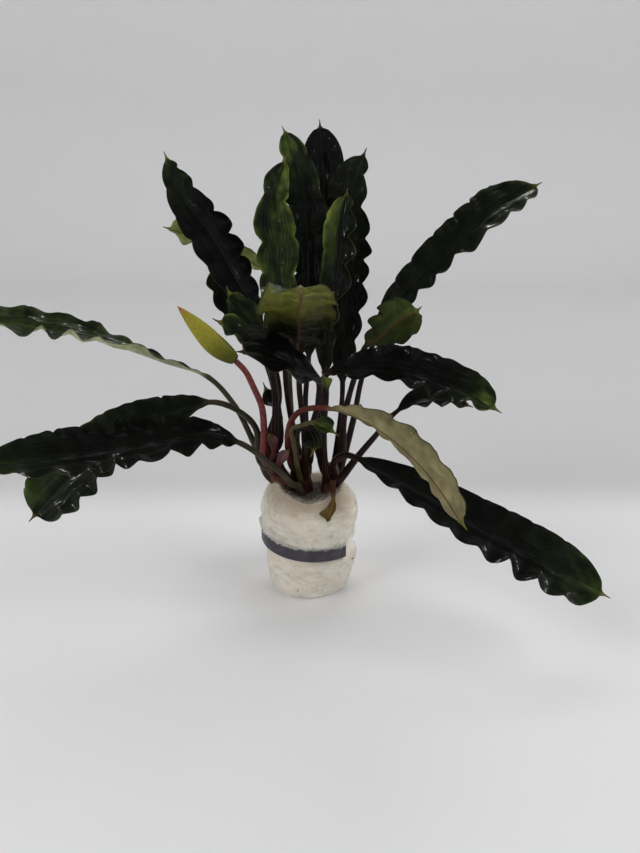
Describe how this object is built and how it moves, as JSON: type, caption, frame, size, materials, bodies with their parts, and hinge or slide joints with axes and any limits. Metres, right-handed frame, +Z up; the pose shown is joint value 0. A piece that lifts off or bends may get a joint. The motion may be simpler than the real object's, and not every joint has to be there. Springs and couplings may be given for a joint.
{
  "type": "potted bucephalandra",
  "caption": "Bucephalandra, a dark aquarium plant with long ruffled leaves, its rhizomes held in a cream roll of filter wool by a grey soft-metal strip, with a closed yellow-green spathe",
  "frame": {"origin": "middle of the wool roll's flat underside, where the plant stands", "axes": "+Z up; +X to the right and -Y to the front as the picture shows the plant; the canopy's longest extent is along X"},
  "size_m": [0.1607, 0.1084, 0.132],
  "materials": {
    "wool": "cream polyester filter wool, matt and fibrous",
    "strip_metal": "soft grey plant-weight metal, dull satin",
    "rhizome": "living red-brown stem",
    "leaf_dark": "wet glossy near-black green leaf, lighter green at tip and margin",
    "leaf_pale": "pale olive leaf underside and young green leaf",
    "flower_stalk": "smooth red stalk",
    "flower_spathe": "smooth yellow-green spathe",
    "stipule": "pink-red papery leaf sheath",
    "dead_sheath": "dry brown leaf sheath"
  },
  "bodies": {
    "root": {"wool_roll": "wool", "metal_strip": "strip_metal", "rhizome_left": "rhizome", "rhizome_middle": "rhizome", "rhizome_right": "rhizome", "leaf_upper_left": "leaf_dark", "leaf_left_behind": "leaf_dark", "leaf_tall_middle": "leaf_dark", "leaf_tall_back": "leaf_dark", "leaf_tall_right": "leaf_dark", "leaf_green_edged": "leaf_dark", "leaf_upper_right": "leaf_dark", "leaf_short_left": "leaf_dark", "leaf_curled_left": "leaf_dark", "leaf_small_dark": "leaf_dark", "leaf_long_left": "leaf_dark", "leaf_drooping_left": "leaf_dark", "leaf_wide_left": "leaf_dark", "leaf_right": "leaf_dark", "leaf_right_behind": "leaf_dark", "leaf_lower_right": "leaf_dark", "leaf_front_left": "leaf_dark", "leaf_small_hanging": "leaf_dark", "leaf_pale_behind": "leaf_pale", "leaf_tall_left": "leaf_pale", "leaf_pale_underside": "leaf_pale", "leaf_front": "leaf_pale", "leaf_folded_right": "leaf_pale", "leaf_small_pale": "leaf_pale", "leaf_small_arched": "leaf_pale", "flower_stalk": "flower_stalk", "flower_spathe": "flower_spathe", "stipule_left": "stipule", "stipule_front": "stipule", "dead_sheath": "dead_sheath"}
  },
  "joints": []
}
